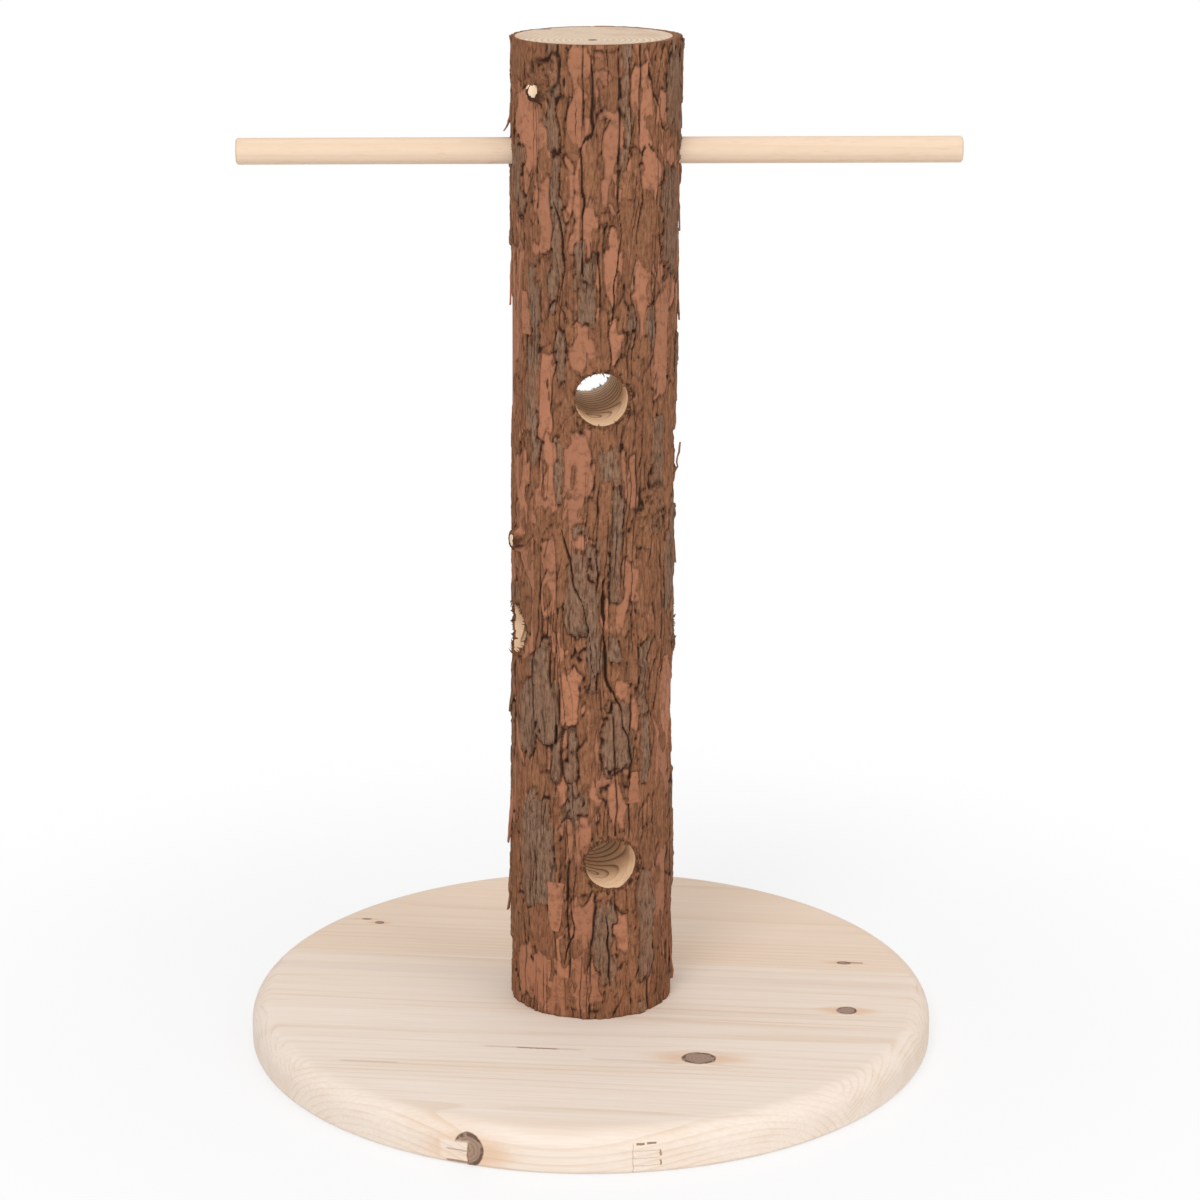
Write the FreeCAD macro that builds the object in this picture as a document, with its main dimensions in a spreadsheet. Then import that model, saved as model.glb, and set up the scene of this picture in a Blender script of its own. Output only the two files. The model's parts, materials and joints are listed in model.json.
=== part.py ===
import FreeCAD, Part
import Sketcher
import math
import os

# Bird feeding tree: a bark-covered log screwed to a round glued-up softwood base, with a round
# perch pushed through the top and three feed holes drilled right through the log.
# Origin at the centre of the base's underside, +Z up, +X along the perch. Millimetres.

doc = FreeCAD.newDocument("bird_feeding_tree")

# Driving dimensions
sheet = doc.addObject("Spreadsheet::Sheet", "sizes")
SIZES = [
    ("base_diameter", 300.0),
    ("base_thickness", 18.0),
    ("rim_top_radius", 9.0),
    ("rim_bottom_radius", 2.0),
    ("stave_width", 62.0),
    ("grain_turn", -7.0),
    ("left_joint_x", -36.0),
    ("right_joint_x", 42.0),
    ("finger_length", 12.0),
    ("finger_pitch", 3.2),
    ("finger_tip", 0.5),
    ("finger_first", 2.6),
    ("finger_count", 3),
    ("log_length", 420.0),
    ("wood_foot_radius", 32.4),
    ("wood_middle_radius", 31.4),
    ("wood_top_radius", 32.3),
    ("log_offset", 1.4),
    ("bark_foot_shift", -1.2),
    ("bark_middle_shift", -1.2),
    ("bark_top_shift", 1.0),
    ("bark_thickness", 3.6),
    ("furrow_depth", 1.3),
    ("furrow_width", 1.8),
    ("furrow_wander", 2.2),
    ("plate_relief", 0.7),
    ("bark_strips", 24),
    ("bark_stations", 8),
    ("feed_hole_diameter", 22.0),
    ("upper_hole_turn", 4.5),
    ("side_hole_turn", 12.0),
    ("lower_hole_turn", 11.8),
    ("upper_hole_height", 275.0),
    ("side_hole_height", 170.0),
    ("lower_hole_height", 71.0),
    ("torn_bark_margin", 0.8),
    ("perch_diameter", 11.0),
    ("perch_length", 300.0),
    ("perch_below_top", 47.0),
    ("perch_offset", 4.0),
    ("perch_end_easing", 0.7),
    ("perch_clearance", 0.05),
    ("perch_bark_clearance", 0.4),
    ("stub_reach", 1.6),
    ("upper_stub_diameter", 6.4),
    ("upper_stub_below_top", 19.5),
    ("upper_stub_turn", 227.0),
    ("middle_stub_diameter", 5.0),
    ("middle_stub_height", 210.0),
    ("middle_stub_turn", 201.0),
    ("screw_circle_diameter", 36.0),
    ("screw_count", 3),
    ("screw_diameter", 4.5),
    ("screw_length", 55.0),
    ("screw_head_diameter", 9.0),
    ("screw_head_depth", 3.0),
    ("screw_tip_length", 7.0),
    ("screw_recess_depth", 1.8),
    ("screw_recess_width", 1.0),
    ("screw_recess_span", 5.0),
    ("screw_head_sink", 0.6),
    ("screw_clearance", 0.2),
    ("pilot_clearance", 0.03),
]
for row, (alias, value) in enumerate(SIZES, start=1):
    sheet.set("A%d" % row, alias)
    sheet.set("B%d" % row, repr(value))
    sheet.setAlias("B%d" % row, alias)
doc.recompute()


def size(alias):
    return float(getattr(sheet, alias))


def bind(item, **expressions):
    for path, expression in expressions.items():
        item.setExpression(path.replace("__", "."), expression)


def origin_plane(body, role):
    return [item for item in body.Origin.OriginFeatures if item.Role == role][0]


def flat_sketch(body, name, role):
    sketch = body.newObject("Sketcher::SketchObject", name)
    sketch.AttachmentSupport = [(origin_plane(body, role), "")]
    sketch.MapMode = "FlatFace"
    return sketch


def sketch_outline(sketch, points):
    # A closed outline of straight sides, each corner held by two expressions from the origin.
    count = len(points)
    start = [FreeCAD.Vector(math.cos(2 * math.pi * i / count), math.sin(2 * math.pi * i / count), 0)
             for i in range(count)]
    for i in range(count):
        sketch.addGeometry(Part.LineSegment(start[i], start[(i + 1) % count]), False)
    for i in range(count):
        sketch.addConstraint(Sketcher.Constraint("Coincident", i, 2, (i + 1) % count, 1))
    for i, (across, along) in enumerate(points):
        for kind, expression in (("DistanceX", across), ("DistanceY", along)):
            place = sketch.addConstraint(Sketcher.Constraint(kind, -1, 1, i, 1, 1.0))
            sketch.setExpression("Constraints[%d]" % place, expression)


def cylinder(name, radius, height):
    item = doc.addObject("Part::Cylinder", name)
    bind(item, Radius=radius, Height=height)
    return item


def level_rod(name, radius, start, reach, height, turn):
    # A level cylinder at a height above the log's foot, heading away from the log's axis at a turn.
    item = cylinder(name, radius, reach)
    bind(item, Placement__Base__x="sizes.log_offset + (%s) * cos(%s)" % (start, turn))
    bind(item, Placement__Base__y="(%s) * sin(%s)" % (start, turn))
    bind(item, Placement__Base__z="sizes.base_thickness + %s" % height)
    heading = "create(<<rotation>>; create(<<vector>>; 0; 0; 1); %s)" % turn
    level = "create(<<rotation>>; create(<<vector>>; 0; 1; 0); 90)"
    bind(item, Placement__Rotation="%s * %s" % (heading, level))
    return item


def cross_bore(name, radius, height, turn):
    return level_rod(name, radius, "-sizes.base_diameter / 2", "sizes.base_diameter", height, turn)


def fused(name, items):
    item = doc.addObject("Part::MultiFuse", name)
    item.Shapes = items
    return item


def cut(name, base, tool):
    item = doc.addObject("Part::Cut", name)
    item.Base = base
    item.Tool = tool
    return item


def common(name, base, tool):
    item = doc.addObject("Part::Common", name)
    item.Base = base
    item.Tool = tool
    return item


nodes = []


def node(item, label):
    item.Label = label
    nodes.append(item)
    return item


# Base blank: a turned disc with a large round-over on its upper rim and an eased lower rim
disc = doc.addObject("PartDesign::Body", "base_disc")
disc_profile = flat_sketch(disc, "disc_profile", "XZ_Plane")
sketch_outline(disc_profile, [
    ("0", "0"),
    ("sizes.base_diameter / 2", "0"),
    ("sizes.base_diameter / 2", "sizes.base_thickness"),
    ("0", "sizes.base_thickness"),
])
disc_turn = disc.newObject("PartDesign::Revolution", "disc_turn")
disc_turn.Profile = disc_profile
disc_turn.ReferenceAxis = (disc_profile, ["V_Axis"])
disc_turn.Angle = 360
doc.recompute()


def rim_edge(shape, height):
    for number, edge in enumerate(shape.Edges, start=1):
        is_rim = edge.Closed and abs(edge.BoundBox.XLength - size("base_diameter")) < 1e-3
        if is_rim and abs(edge.BoundBox.ZMax - height) < 1e-3 and edge.BoundBox.ZLength < 1e-3:
            return "Edge%d" % number


top_round = disc.newObject("PartDesign::Fillet", "rim_top_round")
top_round.Base = (disc_turn, [rim_edge(disc_turn.Shape, size("base_thickness"))])
bind(top_round, Radius="sizes.rim_top_radius")
doc.recompute()
bottom_round = disc.newObject("PartDesign::Fillet", "rim_bottom_round")
bottom_round.Base = (top_round, [rim_edge(top_round.Shape, 0.0)])
bind(bottom_round, Radius="sizes.rim_bottom_radius")
doc.recompute()

# Base staves: straight boards glued edge to edge, their grain turned a little from the perch
STAVE_ROWS = ["front", "mid_front", "centre", "mid_back", "back"]
EDGE_ROW = len(STAVE_ROWS) // 2


def stave_row(index):
    # The outermost rows reach past the rim, so that the disc trims them to its own outline.
    row = doc.addObject("Part::Box", "row_" + STAVE_ROWS[index])
    step = index - EDGE_ROW
    low = "(%d - 0.5) * sizes.stave_width" % step
    high = "(%d + 0.5) * sizes.stave_width" % step
    if step == -EDGE_ROW:
        low = "-sizes.base_diameter"
    if step == EDGE_ROW:
        high = "sizes.base_diameter"
    bind(row, Length="2 * sizes.base_diameter", Height="sizes.base_thickness")
    bind(row, Width="(%s) - (%s)" % (high, low))
    turn = "sizes.grain_turn"
    bind(row, Placement__Base__x="-sizes.base_diameter * cos(%s) - (%s) * sin(%s)" % (turn, low, turn))
    bind(row, Placement__Base__y="-sizes.base_diameter * sin(%s) + (%s) * cos(%s)" % (turn, low, turn))
    bind(row, Placement__Rotation="create(<<rotation>>; create(<<vector>>; 0; 0; 1); %s)" % turn)
    return common("stave_" + STAVE_ROWS[index], disc, row)


rows = [stave_row(index) for index in range(len(STAVE_ROWS))]


# Finger joints: the front row is three lengths of board joined end to end by tapered fingers
def joint_side(name, joint_x):
    # Everything to the left of a finger joint, its right side cut to the zigzag of the fingers.
    body = doc.addObject("PartDesign::Body", name)
    sketch = flat_sketch(body, name + "_zigzag", "XZ_Plane")
    root = "%s - sizes.finger_length / 2" % joint_x
    tip = "%s + sizes.finger_length / 2" % joint_x
    points = [("-2 * sizes.base_diameter", "0"), (root, "0")]
    for finger in range(int(size("finger_count"))):
        foot = "sizes.finger_first + %d * sizes.finger_pitch" % finger
        points.append((root, foot))
        points.append((tip, "%s + (sizes.finger_pitch - sizes.finger_tip) / 2" % foot))
        points.append((tip, "%s + (sizes.finger_pitch + sizes.finger_tip) / 2" % foot))
        points.append((root, "%s + sizes.finger_pitch - sizes.finger_tip" % foot))
    points.append((root, "sizes.base_thickness"))
    points.append(("-2 * sizes.base_diameter", "sizes.base_thickness"))
    sketch_outline(sketch, points)
    pad = body.newObject("PartDesign::Pad", name + "_pad")
    pad.Profile = sketch
    bind(pad, Length="4 * sizes.base_diameter")
    pad.Midplane = True
    bind(body, Placement__Rotation="create(<<rotation>>; create(<<vector>>; 0; 0; 1); sizes.grain_turn)")
    return body


left_of_left = joint_side("left_joint", "sizes.left_joint_x")
left_of_right = joint_side("right_joint", "sizes.right_joint_x")
node(common("front_left", rows[0], left_of_left), "base_stave_front_left")
front_rest = cut("front_rest", rows[0], left_of_left)
node(common("front_middle", front_rest, left_of_right), "base_stave_front_middle")
node(cut("front_right", front_rest, left_of_right), "base_stave_front_right")
node(rows[1], "base_stave_mid_front")
node(rows[3], "base_stave_mid_back")
node(rows[4], "base_stave_back")


# Screws: countersunk wood screws driven up through the base into the foot of the log
def screw_place(item, number, z):
    angle = "360 / sizes.screw_count * %d + 90" % number
    radius = "sizes.screw_circle_diameter / 2"
    bind(item, Placement__Base__x="%s * cos(%s)" % (radius, angle))
    bind(item, Placement__Base__y="%s * sin(%s)" % (radius, angle))
    bind(item, Placement__Base__z=z)


def turned(name, points):
    # A turned solid about +Z, from its half profile in radius and height.
    body = doc.addObject("PartDesign::Body", name)
    sketch = flat_sketch(body, name + "_profile", "XZ_Plane")
    sketch_outline(sketch, points)
    turn = body.newObject("PartDesign::Revolution", name + "_turn")
    turn.Profile = sketch
    turn.ReferenceAxis = (sketch, ["V_Axis"])
    turn.Angle = 360
    return body


def recess_bar(name, turn):
    bar = doc.addObject("Part::Box", name)
    bind(bar, Length="sizes.screw_recess_span", Width="sizes.screw_recess_width")
    bind(bar, Height="2 * sizes.screw_recess_depth")
    half_span = "sizes.screw_recess_span / 2"
    half_width = "sizes.screw_recess_width / 2"
    bind(bar, Placement__Base__x="-%s" % (half_width if turn else half_span))
    bind(bar, Placement__Base__y="-%s" % (half_span if turn else half_width))
    bind(bar, Placement__Base__z="-sizes.screw_recess_depth")
    if turn:
        bind(bar, Length="sizes.screw_recess_width", Width="sizes.screw_recess_span")
    return bar


HEAD = "sizes.screw_head_diameter / 2"
SHANK = "sizes.screw_diameter / 2"
screw_blank = turned("screw_blank", [
    ("0", "0"),
    (HEAD, "0"),
    (SHANK, "sizes.screw_head_depth"),
    (SHANK, "sizes.screw_length - sizes.screw_tip_length"),
    ("0", "sizes.screw_length"),
])
cross_recess = fused("cross_recess", [recess_bar("recess_along", False), recess_bar("recess_across", True)])
screw = cut("screw", screw_blank, cross_recess)
SEAT = "sizes.screw_clearance"
WELL_FOOT = "-sizes.screw_head_sink"
screw_well = turned("screw_well", [
    ("0", WELL_FOOT),
    ("%s + %s" % (HEAD, SEAT), WELL_FOOT),
    ("%s + %s" % (HEAD, SEAT), "0"),
    ("%s + %s" % (SHANK, SEAT), "sizes.screw_head_depth"),
    ("%s + %s" % (SHANK, SEAT), "sizes.base_thickness"),
    ("0", "sizes.base_thickness"),
])
screws = []
wells = []
pilots = []
for number in range(int(size("screw_count"))):
    for copies, source in ((screws, screw), (wells, screw_well)):
        copy = doc.addObject("App::Link", "%s_%d" % (source.Name, number + 1))
        copy.LinkedObject = source
        copy.LinkTransform = False
        screw_place(copy, number, "sizes.screw_head_sink")
        copies.append(copy)
    pilot_height = "sizes.screw_length + sizes.screw_head_sink - sizes.base_thickness"
    pilot = cylinder("pilot_%d" % (number + 1), "%s + sizes.pilot_clearance" % SHANK, pilot_height)
    screw_place(pilot, number, "sizes.base_thickness")
    pilots.append(pilot)
node(cut("stave_with_wells", rows[EDGE_ROW], fused("screw_wells", wells)), "base_stave_centre")
screw_group = doc.addObject("Part::Compound", "screw_group")
screw_group.Links = screws
node(screw_group, "base_screws")

# Log wood: the debarked stem, a little waisted between its foot and its sawn top
LOG_FOOT = "sizes.base_thickness"
log_blank = turned("log_blank", [
    ("0", LOG_FOOT),
    ("sizes.wood_foot_radius", LOG_FOOT),
    ("sizes.wood_middle_radius", "%s + sizes.log_length / 2" % LOG_FOOT),
    ("sizes.wood_top_radius", "%s + sizes.log_length" % LOG_FOOT),
    ("0", "%s + sizes.log_length" % LOG_FOOT),
])
bind(log_blank, Placement__Base__x="sizes.log_offset")

# Twig stubs: two broken side twigs whose ends still stand out of the bark
STUB_END = "sizes.wood_top_radius + sizes.bark_thickness + sizes.stub_reach"
TWIGS = [
    ("upper", "sizes.log_length - sizes.upper_stub_below_top"),
    ("middle", "sizes.middle_stub_height"),
]
stubs = [level_rod(name + "_stub", "sizes.%s_stub_diameter / 2" % name, "0", STUB_END, height,
                   "sizes.%s_stub_turn" % name) for name, height in TWIGS]
stem = fused("stem_with_twigs", [log_blank] + stubs)

# Bores: three feed holes and the perch hole through the log, pilot holes up from its foot
SQUARE_TO_PERCH = "90"
FEED_HOLES = [("upper", SQUARE_TO_PERCH), ("side", "0"), ("lower", SQUARE_TO_PERCH)]
PERCH_HEIGHT = "(sizes.log_length - sizes.perch_below_top)"
wood_bores = []
bark_bores = []
for name, quarter in FEED_HOLES:
    height = "sizes.%s_hole_height" % name
    turn = "(sizes.%s_hole_turn + %s)" % (name, quarter)
    radius = "sizes.feed_hole_diameter / 2"
    wood_bores.append(cross_bore(name + "_feed_bore", radius, height, turn))
    torn = "%s + sizes.torn_bark_margin" % radius
    bark_bores.append(cross_bore(name + "_bark_bore", torn, height, turn))
perch_bore_radius = "sizes.perch_diameter / 2 + sizes.perch_clearance"
wood_bores.append(cross_bore("perch_bore", perch_bore_radius, PERCH_HEIGHT, "0"))
bark_perch_radius = "sizes.perch_diameter / 2 + sizes.perch_bark_clearance"
bark_bores.append(cross_bore("perch_bark_bore", bark_perch_radius, PERCH_HEIGHT, "0"))
node(cut("drilled_log", stem, fused("log_bores", wood_bores + pilots)), "log_core")

# Bark: long strips parted by furrows that wander and change depth up the stem.
# Each swing is a phase step from strip to strip and a rate up the log, in radians.
SLOW_SWING = (2.4, 5.0)
QUICK_SWING = (5.1, -11.0)
PLATE_SWING = (3.7, 7.0)
DEPTH_SWING = (1.9, 9.0)
SLOW_PART = 0.65
LEAST_DEPTH = 0.3


def swing(kind, strip, share):
    step, rate = kind
    return math.sin(step * strip + rate * share)


def stem_value(foot, middle, top, share):
    # The two straight stretches of the stem, read at a share of the log's length.
    if share < 0.5:
        return foot + (middle - foot) * 2 * share
    return middle + (top - middle) * (2 * share - 1)


def bark_section(share):
    radius = stem_value(size("wood_foot_radius"), size("wood_middle_radius"), size("wood_top_radius"), share)
    bow = stem_value(size("bark_foot_shift"), size("bark_middle_shift"), size("bark_top_shift"), share)
    height = size("base_thickness") + share * size("log_length")
    strips = int(size("bark_strips"))
    pitch = 2 * math.pi / strips
    half_furrow = size("furrow_width") / 2 / radius
    wander_angle = size("furrow_wander") / radius
    points = []
    for strip in range(strips):
        slow = swing(SLOW_SWING, strip, share)
        quick = swing(QUICK_SWING, strip, share)
        angle = pitch * strip + wander_angle * (SLOW_PART * slow + (1 - SLOW_PART) * quick)
        drop = size("plate_relief") * (1 + swing(PLATE_SWING, strip, share)) / 2
        crest = radius + size("bark_thickness") - drop
        open_part = (1 + swing(DEPTH_SWING, strip, share)) / 2
        depth = size("furrow_depth") * (LEAST_DEPTH + (1 - LEAST_DEPTH) * open_part)
        for offset, reach in ((-half_furrow, crest), (0.0, crest - depth), (half_furrow, crest)):
            points.append(FreeCAD.Vector(size("log_offset") + bow + reach * math.cos(angle + offset),
                                         reach * math.sin(angle + offset), height))
    return points


def flat_face(*corners):
    return Part.Face(Part.makePolygon(list(corners) + [corners[0]]))


stations = int(size("bark_stations"))
sections = [bark_section(station / (stations - 1)) for station in range(stations)]
bark_faces = [flat_face(*sections[0]), flat_face(*sections[-1])]
for low, high in zip(sections[:-1], sections[1:]):
    for i in range(len(low)):
        after = (i + 1) % len(low)
        bark_faces.append(flat_face(low[i], low[after], high[after]))
        bark_faces.append(flat_face(low[i], high[after], high[i]))
bark_blank = doc.addObject("Part::Feature", "bark_blank")
bark_blank.Shape = Part.makeSolid(Part.makeShell(bark_faces))
peeled = cut("peeled_bark", bark_blank, stem)
node(cut("drilled_bark", peeled, fused("bark_holes", bark_bores)), "bark")

# Perch: a round dowel with eased ends, pushed through the log until both sides stand out alike
HALF = "sizes.perch_diameter / 2"
EASE = "sizes.perch_end_easing"
perch = turned("perch_dowel", [
    ("0", "0"),
    ("%s - %s" % (HALF, EASE), "0"),
    (HALF, EASE),
    (HALF, "sizes.perch_length - %s" % EASE),
    ("%s - %s" % (HALF, EASE), "sizes.perch_length"),
    ("0", "sizes.perch_length"),
])
bind(perch, Placement__Base__x="sizes.perch_offset - sizes.perch_length / 2")
bind(perch, Placement__Base__z="sizes.base_thickness + %s" % PERCH_HEIGHT)
bind(perch, Placement__Rotation="create(<<rotation>>; create(<<vector>>; 0; 1; 0); 90)")
node(perch, "perch")

# Every piece is checked before anything is written
doc.recompute()
for item in doc.Objects:
    if "Invalid" in item.State or "Error" in item.State:
        raise RuntimeError("%s did not build: %s" % (item.Name, item.State))
os.makedirs("parts", exist_ok=True)
for item in nodes:
    shape = item.Shape
    if shape.isNull() or not shape.isValid() or not shape.Solids:
        raise RuntimeError("%s has no valid solid" % item.Label)
for item in nodes:
    item.Shape.exportStep("parts/%s.step" % item.Label)
    print("%-26s solids %d  volume %.1f" % (item.Label, len(item.Shape.Solids), item.Shape.Volume))
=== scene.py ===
import json
import math
from collections import namedtuple

import bpy
import numpy as np
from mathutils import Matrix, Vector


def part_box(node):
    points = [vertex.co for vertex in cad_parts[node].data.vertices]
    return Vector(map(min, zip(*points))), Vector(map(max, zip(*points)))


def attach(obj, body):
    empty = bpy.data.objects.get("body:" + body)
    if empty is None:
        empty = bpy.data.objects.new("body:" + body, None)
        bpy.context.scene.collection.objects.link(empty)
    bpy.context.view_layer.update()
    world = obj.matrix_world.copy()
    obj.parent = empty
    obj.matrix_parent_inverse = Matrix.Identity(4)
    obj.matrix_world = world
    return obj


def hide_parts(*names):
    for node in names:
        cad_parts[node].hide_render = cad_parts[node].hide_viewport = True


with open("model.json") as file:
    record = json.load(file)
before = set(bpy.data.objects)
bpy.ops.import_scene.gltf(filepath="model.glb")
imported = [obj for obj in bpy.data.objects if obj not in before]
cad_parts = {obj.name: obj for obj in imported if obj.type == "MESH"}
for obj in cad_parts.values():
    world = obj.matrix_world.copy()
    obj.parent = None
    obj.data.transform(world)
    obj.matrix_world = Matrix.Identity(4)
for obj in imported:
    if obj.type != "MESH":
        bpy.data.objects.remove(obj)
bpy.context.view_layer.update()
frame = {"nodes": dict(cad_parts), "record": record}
MM = 0.001

# Base staves
# The round base is a panel of pale sawn softwood boards glued edge to edge, the front one in three
# lengths finger-jointed end to end, then turned to a disc with a rounded rim and sanded, left bare.
GRAIN_TURN = math.radians(7.0)
STAVE_PALE = (0.870, 0.760, 0.662, 1.0)
STAVE_LATE = (0.660, 0.455, 0.300, 1.0)
STAVE_BAND = (0.790, 0.570, 0.400, 1.0)
STAVE_STAIN = (0.720, 0.430, 0.230, 1.0)
STAVE_KNOT = (0.370, 0.250, 0.185, 1.0)
STAVE_KNOT_RIM = (0.110, 0.055, 0.032, 1.0)
STAVE_STREAK = (0.260, 0.120, 0.055, 1.0)
SLOW_SCALE = (2.6, 22.0, 22.0)
FIBRE_SCALE = (22.0, 1100.0, 1100.0)
TONE_SCALE = (5.0, 75.0, 75.0)
HALO_STRETCH = (0.30, 0.85, 0.85)
BOX_SHAKE = (0.0012, 0.0006, 0.0006)


def node_group(name, inputs, outputs):
    group = bpy.data.node_groups.new(name, "ShaderNodeTree")
    for label, kind, value in inputs:
        socket = group.interface.new_socket(name=label, in_out="INPUT", socket_type=kind)
        if value is not None:
            socket.default_value = value
    for label in outputs:
        group.interface.new_socket(name=label, in_out="OUTPUT", socket_type="NodeSocketFloat")
    return group


def add(tree, kind, links=(), **settings):
    # One node with its settings, its inputs given as values or as other nodes' sockets.
    item = tree.nodes.new(kind)
    for key, value in settings.items():
        setattr(item, key, value)
    for key, value in links:
        if isinstance(value, bpy.types.NodeSocket):
            tree.links.new(value, item.inputs[key])
        else:
            item.inputs[key].default_value = value
    return item


def put_out(group, **values):
    leave = add(group, "NodeGroupOutput")
    for label, value in values.items():
        group.links.new(value, leave.inputs[label])


def maths(tree, operation, *values):
    return add(tree, "ShaderNodeMath", list(enumerate(values)), operation=operation).outputs[0]


def times(tree, first, second):
    return maths(tree, "MULTIPLY", first, second)


def vector(tree, operation, *values):
    item = add(tree, "ShaderNodeVectorMath", list(enumerate(values)), operation=operation)
    return item.outputs["Value" if operation == "LENGTH" else "Vector"]


def ramp(tree, value, low, high):
    item = add(tree, "ShaderNodeMapRange", [("Value", value), ("From Min", low), ("From Max", high)],
               interpolation_type="SMOOTHSTEP")
    return item.outputs["Result"]


def noise(tree, place, scale, detail, roughness=0.5):
    item = add(tree, "ShaderNodeTexNoise", [("Vector", place), ("Scale", scale), ("Detail", detail),
                                            ("Roughness", roughness)])
    return item.outputs["Fac"]


def stretched_noise(tree, place, scale, detail, roughness=0.5):
    # Noise drawn out along a piece, its scale given for each of the three directions.
    return noise(tree, vector(tree, "MULTIPLY", place, scale), 1.0, detail, roughness)


def blend_colour(tree, factor, first, second):
    item = add(tree, "ShaderNodeMix", [(0, factor)], data_type="RGBA")
    for key, value in ((6, first), (7, second)):
        if isinstance(value, bpy.types.NodeSocket):
            tree.links.new(value, item.inputs[key])
        else:
            item.inputs[key].default_value = value
    return item.outputs[2]


# Growth rings: distance from a pith line along X, bent by slow noise, cut into early and late wood.
rings = node_group(
    "growth_rings",
    [("Place", "NodeSocketVector", None), ("Pith", "NodeSocketVector", None),
     ("Spacing", "NodeSocketFloat", 0.004), ("Wander", "NodeSocketFloat", 0.003),
     ("Bend", "NodeSocketFloat", 0.0)],
    ["Late", "Fibre", "Tone"])
inside = add(rings, "NodeGroupInput").outputs
across = vector(rings, "SUBTRACT", inside["Place"], inside["Pith"])
reach = vector(rings, "LENGTH", vector(rings, "MULTIPLY", across, (0.0, 1.0, 1.0)))
slow = stretched_noise(rings, inside["Place"], SLOW_SCALE, 2.0)
swing = times(rings, maths(rings, "SUBTRACT", slow, 0.5), inside["Wander"])
distance = maths(rings, "ADD", maths(rings, "ADD", reach, swing), inside["Bend"])
phase = maths(rings, "FRACT", maths(rings, "DIVIDE", distance, inside["Spacing"]))
rise = maths(rings, "POWER", ramp(rings, phase, 0.35, 0.93), 2.0)
put_out(rings, Late=times(rings, rise, ramp(rings, phase, 1.0, 0.94)),
        Fibre=stretched_noise(rings, inside["Place"], FIBRE_SCALE, 3.0),
        Tone=stretched_noise(rings, inside["Place"], TONE_SCALE, 3.0))

# A knot: the round section of a branch, dark at its rim, with its own rings, the grain bent past it
# and stained along the board on both sides of it.
knot = node_group(
    "knot",
    [("Place", "NodeSocketVector", None), ("Centre", "NodeSocketVector", None),
     ("Radius", "NodeSocketVector", None)],
    ["Inside", "Rim", "Halo", "Bend"])
inside = add(knot, "NodeGroupInput").outputs
scaled = vector(knot, "SUBTRACT", inside["Place"], inside["Centre"])
scaled = vector(knot, "DIVIDE", scaled, inside["Radius"])
coarse = noise(knot, inside["Place"], 330.0, 3.0)
ragged = times(knot, maths(knot, "SUBTRACT", coarse, 0.5), 0.28)
span = maths(knot, "ADD", vector(knot, "LENGTH", scaled), ragged)
phase = maths(knot, "FRACT", times(knot, span, 4.2))
own_rings = times(knot, ramp(knot, phase, 0.45, 0.95), 0.40)
rim_mask = times(knot, ramp(knot, span, 0.74, 0.92), ramp(knot, span, 1.14, 1.02))
rim_mask = times(knot, rim_mask, ramp(knot, coarse, 0.40, 0.52))
halo_span = vector(knot, "LENGTH", vector(knot, "MULTIPLY", scaled, HALO_STRETCH))
halo_mask = ramp(knot, maths(knot, "ADD", halo_span, ragged), 1.40, 0.45)
bend = maths(knot, "DIVIDE", 0.003, maths(knot, "ADD", 1.0, times(knot, span, span)))
put_out(knot, Inside=ramp(knot, span, 1.12, 1.02), Rim=maths(knot, "MAXIMUM", rim_mask, own_rings),
        Halo=maths(knot, "POWER", halo_mask, 1.5), Bend=bend)

# A box in a board, soft at its edges, for gaps at joints, resin streaks and where a knot is cut off.
patch_box = node_group(
    "patch_box",
    [("Place", "NodeSocketVector", None), ("Centre", "NodeSocketVector", None),
     ("Half", "NodeSocketVector", None)],
    ["Mask"])
inside = add(patch_box, "NodeGroupInput").outputs
shake = add(patch_box, "ShaderNodeTexNoise",
            [("Vector", inside["Place"]), ("Scale", 700.0), ("Detail", 2.0)]).outputs["Color"]
shake = vector(patch_box, "MULTIPLY", vector(patch_box, "SUBTRACT", shake, (0.5, 0.5, 0.5)), BOX_SHAKE)
offset = vector(patch_box, "ADD", inside["Place"], shake)
offset = vector(patch_box, "SUBTRACT", offset, inside["Centre"])
scaled = vector(patch_box, "ABSOLUTE", vector(patch_box, "DIVIDE", offset, inside["Half"]))
sides = add(patch_box, "ShaderNodeSeparateXYZ", [("Vector", scaled)]).outputs
widest = maths(patch_box, "MAXIMUM", maths(patch_box, "MAXIMUM", sides["X"], sides["Y"]), sides["Z"])
put_out(patch_box, Mask=ramp(patch_box, widest, 1.10, 0.80))


def placed(tree, group, place, centre, reach, reach_name):
    # A knot or a box of a piece, its centre and reach given in millimetres.
    item = add(tree, "ShaderNodeGroup", [("Place", place)], node_tree=group)
    item.inputs["Centre"].default_value = [value * MM for value in centre]
    item.inputs[reach_name].default_value = [value * MM for value in reach]
    return item.outputs


def growth(tree, place, pith, spacing, wander):
    # The growth rings of a piece, their pith, spacing and wander given in millimetres.
    item = add(tree, "ShaderNodeGroup", [("Place", place)], node_tree=rings)
    item.inputs["Pith"].default_value = [value * MM for value in pith]
    item.inputs["Spacing"].default_value = spacing * MM
    item.inputs["Wander"].default_value = wander * MM
    return item


def new_finish(name, specular):
    # A material, its nodes, its shader and the place on the piece that its patterns follow.
    finish = bpy.data.materials.new(name)
    finish.use_nodes = True
    tree = finish.node_tree
    shader = tree.nodes["Principled BSDF"]
    shader.inputs["Specular IOR Level"].default_value = specular
    return finish, tree, shader, add(tree, "ShaderNodeTexCoord").outputs["Object"]


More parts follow.
